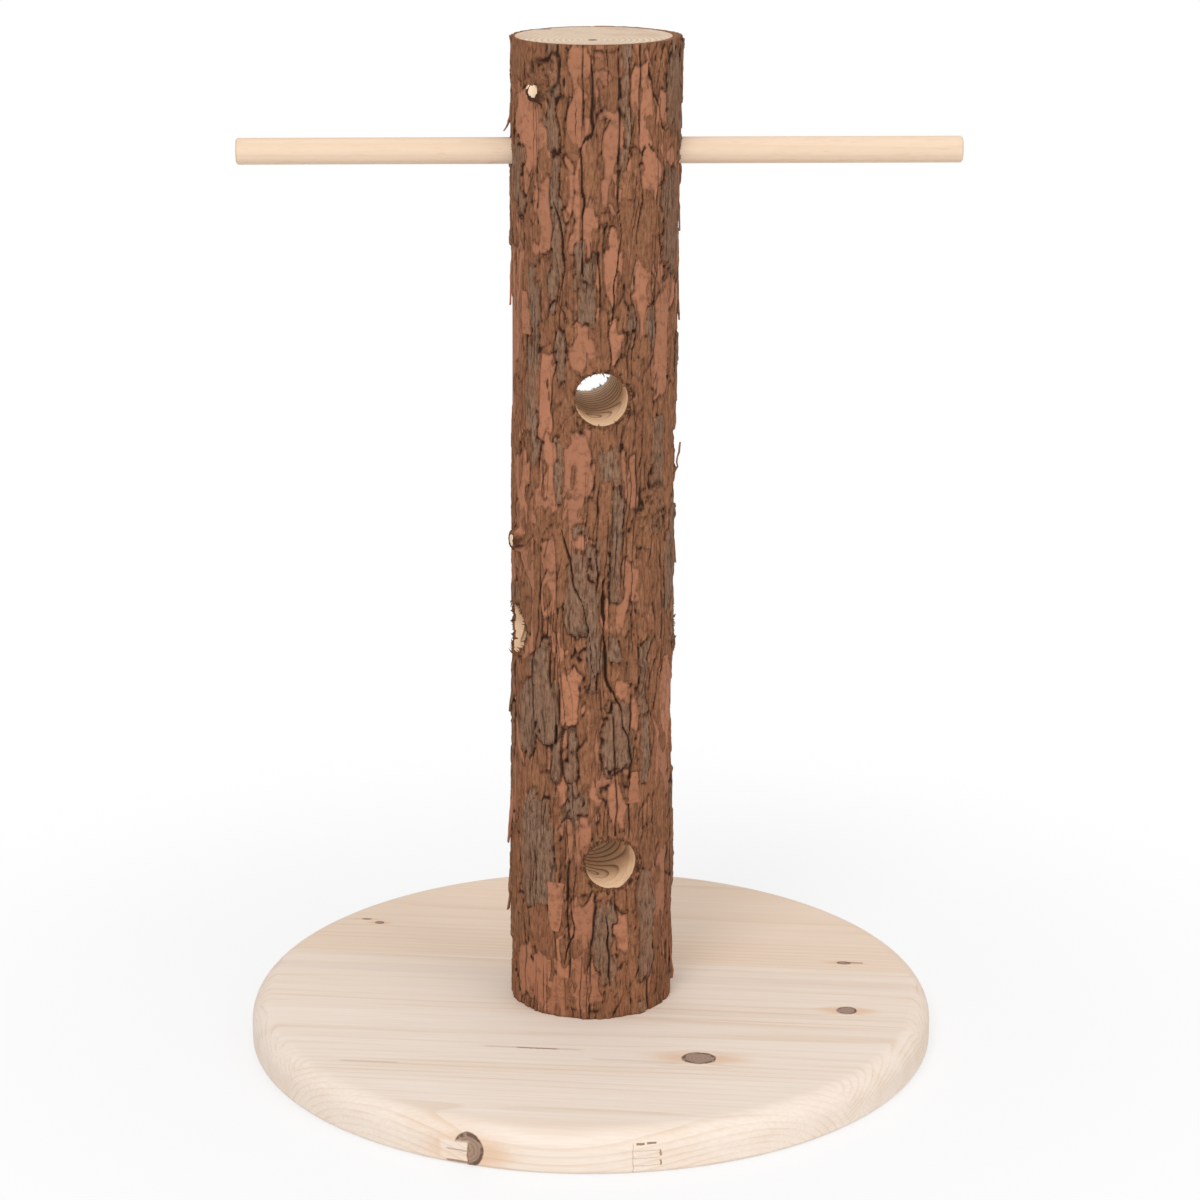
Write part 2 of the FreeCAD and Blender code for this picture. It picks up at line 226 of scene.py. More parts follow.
def roughen(tree, shader, height, strength, distance):
    bump = add(tree, "ShaderNodeBump", [("Height", height), ("Strength", strength), ("Distance", distance)])
    tree.links.new(bump.outputs["Normal"], shader.inputs["Normal"])


def give_finish(name, finish):
    piece = frame["nodes"][name]
    piece.data.materials.clear()
    piece.data.materials.append(finish)


def stave_finish(name, warmth, pith, spacing, wander, knots, cut_off, streaks):
    # Bare sanded softwood: each board has its own tint, pith line, knots and dark streaks.
    finish, tree, shader, where = new_finish(name, 0.25)
    shader.inputs["IOR"].default_value = 1.45
    board = add(tree, "ShaderNodeMapping", [("Vector", where), ("Rotation", (0.0, 0.0, GRAIN_TURN))])
    board = board.outputs["Vector"]
    marks = [placed(tree, knot, board, centre, radius, "Radius") for centre, radius in knots]
    wood = growth(tree, board, pith, spacing, wander)
    grain = wood.outputs
    bend = 0.0
    for mark in marks:
        bend = maths(tree, "ADD", bend, mark["Bend"])
    if marks:
        tree.links.new(bend, wood.inputs["Bend"])
    strength = times(tree, grain["Late"], ramp(tree, grain["Tone"], 0.25, 0.75))
    pale = blend_colour(tree, warmth, STAVE_PALE, STAVE_BAND)
    colour = blend_colour(tree, times(tree, strength, 0.45), pale, STAVE_LATE)
    band = times(tree, ramp(tree, grain["Tone"], 0.45, 0.75), 0.30)
    colour = blend_colour(tree, band, colour, STAVE_BAND)
    fibre = ramp(tree, grain["Fibre"], 0.30, 0.72)
    colour = blend_colour(tree, times(tree, fibre, 0.17), colour, STAVE_LATE)
    kept = 1.0
    if cut_off:
        kept = maths(tree, "SUBTRACT", 1.0, placed(tree, patch_box, board, *cut_off, "Half")["Mask"])
    for mark in marks:
        halo = times(tree, times(tree, mark["Halo"], kept), 0.55)
        colour = blend_colour(tree, halo, colour, STAVE_STAIN)
        heart = blend_colour(tree, times(tree, mark["Rim"], 0.85), STAVE_KNOT, STAVE_KNOT_RIM)
        colour = blend_colour(tree, times(tree, mark["Inside"], kept), colour, heart)
    for centre, half, force in streaks:
        mask = placed(tree, patch_box, board, centre, half, "Half")["Mask"]
        colour = blend_colour(tree, times(tree, mask, force), colour, STAVE_STREAK)
    tree.links.new(colour, shader.inputs["Base Color"])
    sanded = maths(tree, "ADD", 0.58, times(tree, fibre, 0.14))
    tree.links.new(sanded, shader.inputs["Roughness"])
    raised = maths(tree, "ADD", grain["Fibre"], times(tree, grain["Late"], 0.6))
    roughen(tree, shader, raised, 0.25, 0.15 * MM)
    return finish


# Each board: how warm its tint is, its pith line (x, y, z), ring spacing and wander, its knots as
# (centre, radii), the box that cuts a knot off at a joint, and its dark streaks as (centre, half size,
# strength), all in millimetres.
RIM_Y = -148.0
RIM_KNOT = ((-34.8, RIM_Y, 7.2), (6.2, 14, 7.0))
FINGER_BOX = ((-40.8, RIM_Y, 4.6), (6.3, 30, 6.2))
LEFT_GAPS = [((-39.4, RIM_Y, 6.6), (4.6, 20, 0.4), 0.45), ((-39.4, RIM_Y, 1.6), (4.6, 20, 0.6), 0.75),
             ((-34.8, RIM_Y, 5.6), (0.35, 20, 4.8), 0.85)]
RIGHT_GAPS = [((35.0, RIM_Y, 12.7), (1.7, 20, 0.45), 0.85), ((39.6, RIM_Y, 12.9), (1.9, 20, 0.45), 0.85),
              ((43.2, RIM_Y, 9.0), (0.4, 20, 1.5), 0.7), ((43.2, RIM_Y, 4.6), (0.4, 20, 1.2), 0.8),
              ((37.6, RIM_Y, 10.0), (5.4, 20, 0.22), 0.3), ((37.6, RIM_Y, 6.8), (5.4, 20, 0.22), 0.3),
              ((37.6, RIM_Y, 3.6), (5.4, 20, 0.22), 0.3), ((32.2, RIM_Y, 6.6), (0.25, 20, 6.4), 0.35)]
FRONT_GRAIN = ((0, -131, -16), 2.9, 7.0)
STAVES = {
    "base_stave_front_left": (0.00, *FRONT_GRAIN, [RIM_KNOT], FINGER_BOX, LEFT_GAPS),
    "base_stave_front_middle": (0.00, *FRONT_GRAIN, [RIM_KNOT], FINGER_BOX, LEFT_GAPS + RIGHT_GAPS),
    "base_stave_front_right": (0.00, *FRONT_GRAIN, [], None, RIGHT_GAPS),
    "base_stave_mid_front": (0.00, (0, -40, -74), 1.9, 5.0, [((53.2, -70.8, 17), (6.9, 5.6, 20))], None,
                             [((-18, -67.3, 17), (22, 0.9, 20), 0.22), ((-16, -67.6, 17), (9, 0.55, 20), 0.75),
                              ((-85, -88, 17), (13, 0.8, 20), 0.22), ((27, -76.5, 17), (19, 1.3, 20), 0.13),
                              ((52, -80, 17), (16, 0.8, 20), 0.12)]),
    "base_stave_centre": (0.14, (0, 18, -88), 2.1, 5.0, [((113.9, -14, 17), (4.2, 3.8, 20))], None,
                          [((-10, 14, 17), (160, 5.0, 20), 0.07), ((60, -22, 17), (90, 2.4, 20), 0.05)]),
    "base_stave_mid_back": (0.46, (0, 92, -60), 2.0, 5.0,
                            [((-106.3, 67.2, 17), (2.0, 1.7, 20)), ((-113, 71, 17), (2.2, 0.9, 20)),
                             ((111, 40, 17), (3.0, 1.7, 20))],
                            None, [((115.5, 40.6, 17), (4.2, 0.8, 20), 0.6)]),
    "base_stave_back": (0.50, (0, 110, -70), 2.3, 6.0, [], None, []),
}
for name, features in STAVES.items():
    give_finish(name, stave_finish(name + "_wood", *features))

# Base screws
# Countersunk wood screws, zinc plated, driven from below through the centre board into the log.
ZINC_DARK = (0.46, 0.47, 0.45, 1)
ZINC_LIGHT = (0.66, 0.65, 0.60, 1)
steel, tree, shader, where = new_finish("zinc_plate", 0.5)
shader.inputs["Metallic"].default_value = 1.0
cloud = noise(tree, where, 300.0, 4.0)
tree.links.new(blend_colour(tree, cloud, ZINC_DARK, ZINC_LIGHT), shader.inputs["Base Color"])
tree.links.new(maths(tree, "ADD", 0.28, times(tree, cloud, 0.2)), shader.inputs["Roughness"])
give_finish("base_screws", steel)

# Log wood
# The sawn length of stem inside the bark: growth rings on its sawn ends, and the walls of the feed
# holes drilled through it, rough and darker than the sanded base, paler in the sapwood at the front.
# The drilled wood is made near white and the front sapwood paler still, partly as painted light in the holes.
LOG_PALE = (0.735, 0.590, 0.455, 1.0)
LOG_LATE = (0.430, 0.255, 0.145, 1.0)
LOG_STAIN = (0.450, 0.260, 0.145, 1.0)
# Drilled wood: the colour of fresh wood, raised close to white as painted light in the dim holes.
LOG_DRILLED_LIT = (0.980, 0.740, 0.510, 1.0)
LOG_DRILLED_LATE = (0.230, 0.130, 0.075, 1.0)
PITH = (0.7, -16.0)
SAWN_TOP = 438.0
log_wood, tree, shader, where = new_finish("log_wood", 0.2)
upright = add(tree, "ShaderNodeMapping", [("Vector", where), ("Rotation", (0.0, math.radians(90.0), 0.0))])
upright = upright.outputs["Vector"]
grain = growth(tree, upright, (0.0, PITH[1], -PITH[0]), 2.4, 4.0).outputs
colour = blend_colour(tree, times(tree, grain["Late"], 0.60), LOG_PALE, LOG_LATE)
cloud = ramp(tree, noise(tree, where, 70.0, 4.0), 0.45, 0.75)
colour = blend_colour(tree, times(tree, cloud, 0.40), colour, LOG_STAIN)
heart = placed(tree, knot, where, (*PITH, SAWN_TOP), (1.9, 2.2, 20), "Radius")["Inside"]
colour = blend_colour(tree, heart, colour, STAVE_KNOT_RIM)
notch = placed(tree, patch_box, where, (-19, 24, SAWN_TOP), (3.2, 1.6, 5), "Half")["Mask"]
colour = blend_colour(tree, notch, colour, STAVE_KNOT_RIM)
bored = growth(tree, upright, (0.0, PITH[1], -PITH[0]), 4.0, 10.0).outputs
drilled = blend_colour(tree, times(tree, bored["Late"], 0.90), LOG_DRILLED_LIT, LOG_DRILLED_LATE)
torn_up = times(tree, ramp(tree, grain["Tone"], 0.45, 0.75), 0.35)
drilled = blend_colour(tree, torn_up, drilled, LOG_STAIN)
from_heart = vector(tree, "LENGTH", vector(tree, "MULTIPLY", where, (1.0, 1.0, 0.0)))
sides = add(tree, "ShaderNodeSeparateXYZ", [("Vector", where)]).outputs
# Painted light: the drilled walls near the hole mouths on the front side are made paler, on top of being
# sapwood.
front_light_side = ramp(tree, sides["Y"], 0.004, -0.010)
sapwood_and_front_light = times(tree, times(tree, ramp(tree, from_heart, 0.014, 0.026), front_light_side), 0.85)
drilled = blend_colour(tree, sapwood_and_front_light, drilled, LOG_DRILLED_LIT)
below_top = ramp(tree, sides["Z"], (SAWN_TOP - 1.0) * MM, (SAWN_TOP - 1.5) * MM)
colour = blend_colour(tree, below_top, colour, drilled)
fibre = times(tree, ramp(tree, grain["Fibre"], 0.4, 0.75), 0.25)
colour = blend_colour(tree, fibre, colour, LOG_STAIN)
tree.links.new(colour, shader.inputs["Base Color"])
shader.inputs["Roughness"].default_value = 0.75
roughen(tree, shader, grain["Fibre"], 0.6, 0.5 * MM)
give_finish("log_core", log_wood)

# Bark
# The natural bark left on the log: long strips parted by dark furrows, thin plates flaked off to
# smooth salmon inner bark, weathered grey ridges and orange fibre, torn at every hole.
BARK_SEED = 11
AROUND = 660
UPRIGHT = 600
LOG_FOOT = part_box("log_core")[0][2]
LOG_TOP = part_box("log_core")[1][2]
LOG_LENGTH = LOG_TOP - LOG_FOOT
LOG_OFFSET = 1.4 * MM
STEM_RADIUS = (32.4 * MM, 31.4 * MM, 32.3 * MM)
BARK_BOW = (-1.4 * MM, -0.8 * MM, 1.3 * MM)
BARK_LEVEL = 1.90 * MM
BARK_THINNEST = 1.2 * MM
BARK_THICKEST = 5.0 * MM
OUTER_RADIUS = 35.0 * MM
FULL_TURN = 2 * math.pi
draw = np.random.default_rng(BARK_SEED)


def smooth(low, high, value):
    share = np.clip((value - low) / (high - low), 0.0, 1.0)
    return share * share * (3 - 2 * share)


def wrapped(turn):
    # The same turn between half a turn back and half a turn on.
    return (turn + math.pi) % FULL_TURN - math.pi


def cells(around, up, cells_around, cell_height, rows, first_row):
    # Where each place on the log lies in a lattice, in cells and in whole cells.
    u = (around / FULL_TURN % 1.0) * cells_around
    v = np.clip(up / cell_height + first_row, first_row - 1, rows - 2.001)
    return u, v, np.floor(u).astype(int), np.floor(v).astype(int)


def value_noise(around, up, cells_around, cell_height):
    # Smooth noise on a cylinder: a random lattice that closes on itself round the log.
    rows = int(math.ceil(LOG_LENGTH / cell_height)) + 4
    lattice = draw.random((rows, cells_around))
    u, v, i, j = cells(around, up, cells_around, cell_height, rows, 1)
    fu = smooth(0, 1, u - i)
    fv = smooth(0, 1, v - j)
    left = i % cells_around
    right = (i + 1) % cells_around
    low = lattice[j, left] * (1 - fu) + lattice[j, right] * fu
    high = lattice[j + 1, left] * (1 - fu) + lattice[j + 1, right] * fu
    return low * (1 - fv) + high * fv - 0.5


def layered_noise(around, up, cells_around, cell_height, layers, gain):
    total = 0.0
    for layer in range(layers):
        finer = 2 ** layer
        total = total + gain ** layer * value_noise(around, up, cells_around * finer, cell_height / finer)
    return total


def blurred(field, across, along):
    # A box mean over so many cells round the log and up it.
    wide = np.pad(field, ((0, 0), (across + 1, across)), mode="wrap").cumsum(1)
    field = (wide[:, 2 * across + 1:] - wide[:, :-2 * across - 1]) / (2 * across + 1)
    tall = np.pad(field, ((along + 1, along), (0, 0)), mode="edge").cumsum(0)
    return (tall[2 * along + 1:] - tall[:-2 * along - 1]) / (2 * along + 1)


angle, share = np.meshgrid(np.arange(AROUND) / AROUND * 2 * math.pi, np.linspace(0, 1, UPRIGHT))
height = share * LOG_LENGTH


def bark_noise(cells_around, cell_height):
    return value_noise(angle, height, cells_around, cell_height)


fine = layered_noise(angle, height, 130, 0.009, 3, 0.6)
lean = angle + 0.20 * bark_noise(7, 0.090) + 0.07 * bark_noise(22, 0.030) + 0.022 * fine
uneven = height + 8 * MM * bark_noise(40, 0.012) + 1.4 * MM * fine

# Furrows: the same wandering lines that part the strips of the solid bark.
STRIPS = 24
STATIONS = np.linspace(0, 1, 8)
FURROW_WANDER = 2.2 * MM
nth = np.arange(STRIPS)[:, None]
swing = 0.65 * np.sin(2.4 * nth + 5.0 * STATIONS) + 0.35 * np.sin(5.1 * nth - 11.0 * STATIONS)
line = FULL_TURN / STRIPS * nth + FURROW_WANDER / STEM_RADIUS[1] * swing
depth = 0.3 + 0.7 * (1 + np.sin(1.9 * nth + 9.0 * STATIONS)) / 2
ragged_angle = angle + 0.075 * bark_noise(24, 0.026) + 0.035 * bark_noise(70, 0.008)
strip = np.zeros(angle.shape, int)
furrow_gap = np.full(angle.shape, 1.0)
furrow_depth = np.zeros(angle.shape)
for k in range(STRIPS):
    offset = wrapped(ragged_angle - np.interp(share, STATIONS, line[k]))
    strip[(offset >= 0) & (offset < 2 * FULL_TURN / STRIPS)] = k
    nearer = np.abs(offset) * OUTER_RADIUS < furrow_gap
    furrow_gap[nearer] = np.abs(offset[nearer]) * OUTER_RADIUS
    furrow_depth[nearer] = np.interp(share, STATIONS, depth[k])[nearer]
opening = smooth(-0.05, 0.30, bark_noise(26, 0.045) + 0.3 * (furrow_depth - 0.65))
furrow_width = 0.20 * MM + 0.75 * MM * opening
furrow = (1 - smooth(0.10, 1.0, furrow_gap / furrow_width)) * (0.15 + 0.85 * opening)


def lengths(strip, strips, least, most):
    # Each strip broken across into plates of uneven length, as one number for each plate.
    pieces = int(LOG_LENGTH / least) + 3
    ends = np.cumsum(draw.uniform(least, most, (strips, pieces)), 1) - draw.uniform(0, most, (strips, 1))
    order = np.zeros(strip.shape, int)
    for piece in range(pieces):
        order += uneven > ends[:, piece][strip]
    return strip * (pieces + 1) + order, draw.random((strips * (pieces + 1), 2))


def uneven_strips(turn, strips):
    edges = np.cumsum(draw.uniform(0.45, 1.55, strips))
    return np.minimum(np.searchsorted(edges / edges[-1], turn / FULL_TURN % 1.0), strips - 1)


def borders(plate):
    # The cells where one plate meets the next.
    edge = plate != np.roll(plate, 1, 1)
    edge[1:] |= plate[1:] != plate[:-1]
    return edge.astype(float)


def crumbled(around, up, cells_around, cell_height):
    # Irregular plates: every place belongs to the nearest point of a shaken lattice.
    rows = int(LOG_LENGTH / cell_height) + 6
    spots = draw.random((rows, cells_around, 2))
    u, v, i, j = cells(around, up, cells_around, cell_height, rows, 2)
    nearest = np.full(u.shape, 9.0)
    owner = np.zeros(u.shape, int)
    for down in (-1, 0, 1):
        for side in (-1, 0, 1):
            column = (i + side) % cells_around
            spot = spots[j + down, column]
            gap = np.hypot(i + side + spot[..., 0] - u, j + down + spot[..., 1] - v)
            owner = np.where(gap < nearest, (j + down) * cells_around + column, owner)
            nearest = np.minimum(nearest, gap)
    return owner, draw.random((rows * cells_around, 2))


# Plates: broad ones between the furrows, narrow ones in fibrous zones, long grey ridges on top.
RIDGE_STRIPS = 40
broad, broad_random = lengths(strip, STRIPS, 0.022, 0.085)
narrow, narrow_random = crumbled(lean, uneven, 32, 0.021)
crumb, crumb_random = crumbled(lean, uneven, 52, 0.008)
ridge, ridge_random = lengths(uneven_strips(lean + 0.05 * fine, RIDGE_STRIPS), RIDGE_STRIPS, 0.020, 0.080)
patch = layered_noise(angle, height, 6, 0.070, 3, 0.6)
fibrous = patch > 0.10
is_ridge = (ridge_random[ridge, 0] < 0.13) | (fibrous & (ridge_random[ridge, 0] < 0.32))
plate = np.where(fibrous, narrow + broad.max() + 1, broad)
plate = np.where(is_ridge, ridge + plate.max() + 1, plate)
chance = np.where(fibrous, narrow_random[narrow, 0], broad_random[broad, 0])
plate_level = np.where(fibrous, narrow_random[narrow, 1], broad_random[broad, 1])

# The plates and cracks that the photograph shows on the front of the log. A plate is its left and
# right edge in degrees from the front and its top and bottom in millimetres above the log's foot,
# a crack a run of (degrees, millimetres).
FRONT_TURN = math.radians(270.0)
FRONT_REACH = 76.0
SMOOTH_PLATES = [
    (-23, -4, 420, 378), (-1, 17, 390, 354), (-74, -44, 403, 367), (-49, -30, 365, 333), (24, 38, 413, 375),
    (43, 54, 403, 387), (29, 49, 375, 357), (-9, 3, 360, 333), (6, 15, 351, 312), (44, 60, 321, 274),
    (-49, -31, 296, 257), (-19, -2, 304, 284), (8, 20, 307, 287), (-25, -3, 261, 233), (16, 32, 253, 230),
    (-45, -29, 257, 225), (-47, -31, 232, 219), (-15, 4, 216, 206), (24, 35, 205, 189), (9, 29, 190, 174),
    (-28, -10, 162, 133), (-37, -27, 177, 162), (17, 34, 151, 129), (-25, -17, 127, 101), (4, 26, 120, 108),
    (10, 21, 107, 82), (-5, 4, 110, 87), (-25, -10, 92, 55), (-18, 4, 57, 6), (11, 26, 53, 25),
    (-29, -20, 37, 17), (-72, -32, 28, 6), (50, 67, 72, 38), (27, 40, 330, 300), (-72, -55, 250, 215),
]
GREY_PLATES = [
    (15, 23, 420, 387), (16, 21, 388, 366), (-32, -23, 378, 315), (-38, -28, 397, 379), (54, 75, 419, 384),
    (53, 76, 367, 325), (-54, -44, 330, 249), (36, 43, 315, 295), (24, 29, 309, 298), (5, 15, 252, 238),
    (-30, -22, 299, 283), (-30, -22, 259, 233), (-76, -58, 378, 352), (-20, -8, 196, 174), (-7, 8, 196, 151),
    (-47, -29, 168, 127), (9, 27, 142, 111), (-63, -45, 146, 116), (-60, -29, 101, 49), (-17, -5, 107, 92),
    (-32, -25, 127, 106), (3, 14, 53, 14), (34, 50, 65, 17), (-2, 6, 214, 197), (60, 74, 215, 180),
]
FRONT_CRACKS = [
    [(-9, 325), (-8, 338), (-10, 362), (-9, 380), (-3, 386), (-3, 394), (-4, 419)],
    [(21, 367), (23, 394), (22, 416)],
    [(54, 380), (47, 391), (40, 403), (37, 413)],
    [(29, 330), (29, 352), (30, 362), (29, 373)],
    [(-19, 305), (-24, 315), (-22, 331), (-25, 349), (-28, 359)],
    [(10, 305), (13, 325), (16, 346), (17, 367)],
    [(44, 297), (44, 321)],
    [(4, 145), (-2, 164), (-9, 189), (-17, 203), (-23, 221)],
    [(29, 111), (21, 132), (11, 151), (8, 184), (9, 197)],
    [(51, 136), (60, 171), (60, 203)],
    [(-23, 22), (-14, 38), (-15, 57)],
    [(10, 14), (11, 37), (8, 50)],
    [(-47, 52), (-44, 87)],
    [(-36, 127), (-40, 145)],
    [(30, 260), (26, 275)],
    [(-56, 250), (-55, 290), (-57, 330)],
]
from_front = wrapped(angle - FRONT_TURN)
shifted = np.degrees(from_front + 0.10 * bark_noise(30, 0.020) + 0.05 * bark_noise(80, 0.007))
height_mm = (height + 5 * MM * bark_noise(60, 0.010) + 2 * MM * fine) / MM
broken = shifted + 5.5 * (crumb_random[crumb, 0] - 0.5)
broken_mm = height_mm + 8.0 * (crumb_random[crumb, 1] - 0.5)
in_front = np.abs(np.degrees(from_front)) < FRONT_REACH
front_plate = np.zeros(angle.shape, int)
for count, (left, right, top, bottom) in enumerate(SMOOTH_PLATES + GREY_PLATES, start=1):
    ends = np.minimum(top - broken_mm, broken_mm - bottom)
    taper = np.clip(1 - ends / (0.25 * (top - bottom)), 0, 1) ** 2 * 0.42 * (right - left)
    within = (broken > left + taper * draw.random()) & (broken < right - taper * draw.random())
    front_plate[within & (ends > 0)] = count
front_crack = np.zeros(angle.shape)
for run in FRONT_CRACKS:
    turns, levels = zip(*run)
    gap = np.abs(shifted - np.interp(height_mm, levels, turns)) * math.radians(1) * OUTER_RADIUS
    ends = np.clip(np.minimum(height_mm - levels[0], levels[-1] - height_mm) / 8.0, 0, 1)
    width = (0.25 + 0.75 * smooth(-0.2, 0.4, bark_noise(30, 0.02))) * MM * ends
    open_share = (1 - smooth(0.2, 1.0, gap / np.maximum(width, 0.01 * MM))) * (ends > 0)
    front_crack = np.maximum(front_crack, open_share)
unplated = front_plate == 0
fibrous = fibrous | (in_front & unplated)
few_ridges = is_ridge & unplated & (ridge_random[ridge, 0] < 0.06)
is_ridge = np.where(in_front, (front_plate > len(SMOOTH_PLATES)) | few_ridges, is_ridge)
plate = np.where(in_front & unplated, narrow + broad.max() + 1, plate)
plate = np.where(unplated, plate, front_plate + plate.max() + 1)
front_random = draw.random(len(SMOOTH_PLATES + GREY_PLATES) + 1)
chance = np.where(in_front, 0.2 + 0.8 * chance, chance)
chance = np.where(unplated, chance, 0.4 * front_random[front_plate])
plate_level = np.where(unplated, plate_level, 0.25 + 0.55 * front_random[front_plate])
furrow = np.maximum(furrow * np.where(in_front, 0.45, 1.0), front_crack)
islands = layered_noise(lean, height, 13, 0.060, 4, 0.5)
chips = layered_noise(lean, height, 44, 0.020, 3, 0.5) > 0.30
chips |= crumb_random[crumb, 0] * crumb_random[crumb, 1] > 0.62
flaked = ((islands > 0.20).astype(float) + (islands < -0.24)) * unplated + 0.7 * chips
bare = (chance < np.where(fibrous, 0.45, 0.86)) & ~is_ridge & (flaked < 0.6)
broken_edge = np.maximum(borders(plate), 0.8 * borders(bare + 2 * is_ridge))
crack = blurred(broken_edge, 1, 1) * smooth(-0.20, 0.20, bark_noise(40, 0.02))
thin_strips = uneven_strips(lean + 0.10 * bark_noise(40, 0.018), 75)
split = blurred(borders(thin_strips), 0, 1) * smooth(0.10, 0.32, bark_noise(34, 0.030))

# Kinds of surface: smooth salmon inner bark, weathered grey ridges, orange torn fibre.
salmon = bare.astype(float)
grey = is_ridge.astype(float)
grain_lines = value_noise(lean, height, 330, 0.011) + 0.8 * value_noise(lean, height, 170, 0.026)
speckle = bark_noise(280, 0.0018)
relief = blurred(MM * (0.95 * plate_level + 0.45 * flaked + 0.85 * is_ridge), 1, 0)
relief = relief - MM * (1.35 * furrow * (0.3 + 0.7 * furrow_depth) + 0.55 * crack + 0.40 * split)
grain_relief = MM * (0.28 * grain_lines + 0.22 * speckle) * (1 - 0.92 * salmon * (1 - grey))

# Burrs: rough bark raised round the broken twigs, and one without a twig, as (turn, height, reach).
BURRS = [(math.radians(233), 407 * MM, 9.0 * MM), (math.radians(317), 227 * MM, 10.0 * MM),
         (math.radians(201), 210 * MM, 5.0 * MM)]
TWIGS = [(math.radians(227), 400.5 * MM, 2.1 * MM), (math.radians(201), 210 * MM, 1.7 * MM)]
TWIG_END = 37.7 * MM


def span_from(turn, level):
    # How far each place on the bark lies from a spot on it.
    return np.hypot(wrapped(angle - turn) * OUTER_RADIUS, height - level)


burr = np.zeros(angle.shape)
for turn, level, reach in BURRS:
    span = span_from(turn, level) / reach + 0.7 * bark_noise(60, 0.006)
    burr = np.maximum(burr, 1 - smooth(0.55, 1.15, span))
lumps = layered_noise(angle, height, 52, 0.0042, 4, 0.6)
relief = relief * (1 - 0.6 * burr) + burr * MM * (1.3 + 2.6 * lumps)
salmon = salmon * (1 - burr)
grey = grey * (1 - 0.7 * burr)
collar = np.zeros(angle.shape)
for turn, level, twig_radius in TWIGS:
    span = span_from(turn, level) + 1.6 * MM * lumps
    grown_over = smooth(twig_radius - 0.3 * MM, twig_radius + 0.2 * MM, span)
    collar = np.maximum(collar, grown_over * (1 - smooth(3.6 * MM, 5.5 * MM, span)))
# Painted shade: bark lying lower than the mean of its neighbourhood is darkened, in hollows and at the feet of
# steps.
painted_hollow_shade = smooth(0.04 * MM, 0.45 * MM, blurred(relief, 4, 3) - relief)
# Raised plate edges: worn to orange fibre, and lighter also as a painted highlight where light catches them.
lip = smooth(0.08 * MM, 0.36 * MM, relief - blurred(relief, 2, 1))
relief = relief + grain_relief
torn_fibre = layered_noise(angle, height, 60, 0.014, 3, 0.7) - 0.35 * patch
orange = np.maximum(smooth(0.05, 0.45, torn_fibre) * (1 - salmon) * (1 - 0.7 * grey), 0.75 * lip)
orange = np.maximum(orange, 0.6 * burr)


def stem(values, share):
    # The two straight stretches of the stem, as the log was turned by its growth.
    foot, middle, top = values
    return np.where(share < 0.5, foot + (middle - foot) * 2 * share, middle + (top - middle) * (2 * share - 1))


wood_radius = stem(STEM_RADIUS, share)
bow = stem(BARK_BOW, share)
swell = 0.9 * MM * bark_noise(3, 0.10)
outer = wood_radius + np.clip(BARK_LEVEL + relief + swell, BARK_THINNEST, BARK_THICKEST)
bark_middle = LOG_OFFSET + bow
outer = outer + collar * np.maximum(TWIG_END - bow * np.cos(angle) + 0.8 * MM * lumps - outer, 0)
blurred_outer = blurred(outer, 6, 4)
points = np.stack([bark_middle + outer * np.cos(angle), outer * np.sin(angle), LOG_FOOT + height], axis=-1)
# Painted shadow: a dark ragged ring round the rim of each burr.
burr_rim_shadow = smooth(0.05, 0.35, burr) * (1 - smooth(0.45, 0.85, burr))
burr_rim_shadow = burr_rim_shadow * smooth(-0.10, 0.15, bark_noise(60, 0.005))
# Dark: furrows, cracks and splits, with the painted shade of the hollows added in.
dark = 0.80 * furrow + 0.70 * crack + 0.40 * split + 0.90 * painted_hollow_shade
dark = np.clip(dark * (1 - 0.45 * burr) + 0.7 * burr_rim_shadow, 0, 0.95)
# Painted shadow: the collar of bark round each twig stub is darkened in ragged patches.
dark = np.maximum(dark, 0.85 * collar * smooth(-0.30, 0.10, lumps))
shade = blurred(np.where(is_ridge, ridge_random[ridge, 1], (chance * 7.0) % 1.0), 1, 0)
tones = np.stack([salmon, grey, orange, dark], axis=-1)

# Holes in the bark: the height and direction of the axis, the torn radius, the radius of the bore in
# the wood, and how ragged, how widely frayed and how splintered the tear is.
Hole = namedtuple("Hole", "level axis torn bore ragged fray splinter")
FEED_TEAR = (11.7 * MM, 11.05 * MM, 1.0, 2.6 * MM, 1.0)
PERCH_TEAR = (5.95 * MM, 5.62 * MM, 0.3, 0.8 * MM, 0.4)
TEAR_REACH = 4 * MM
LIP_DEPTH = 0.9 * MM
mounts = {mount["name"]: mount for mount in frame["record"]["mounts"]}
feed_holes = [mounts[name] for name in ("upper_feed_hole", "side_feed_hole", "lower_feed_hole")]
bark_holes = [Hole(hole["pos_m"][2], hole["axis"], *FEED_TEAR) for hole in feed_holes]
perch_low, perch_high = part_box("perch")
perch_axis_z = (perch_low[2] + perch_high[2]) / 2
bark_holes.append(Hole(perch_axis_z, (1.0, 0.0, 0.0), *PERCH_TEAR))


def from_hole(hole, place):
    # A hole's axis, the level direction across it, and how far a place lies from its middle.
    axis = np.array(hole.axis, float)
    lateral = np.array([-axis[1], axis[0], 0.0])
    return axis, lateral, place - (LOG_OFFSET, 0, hole.level)


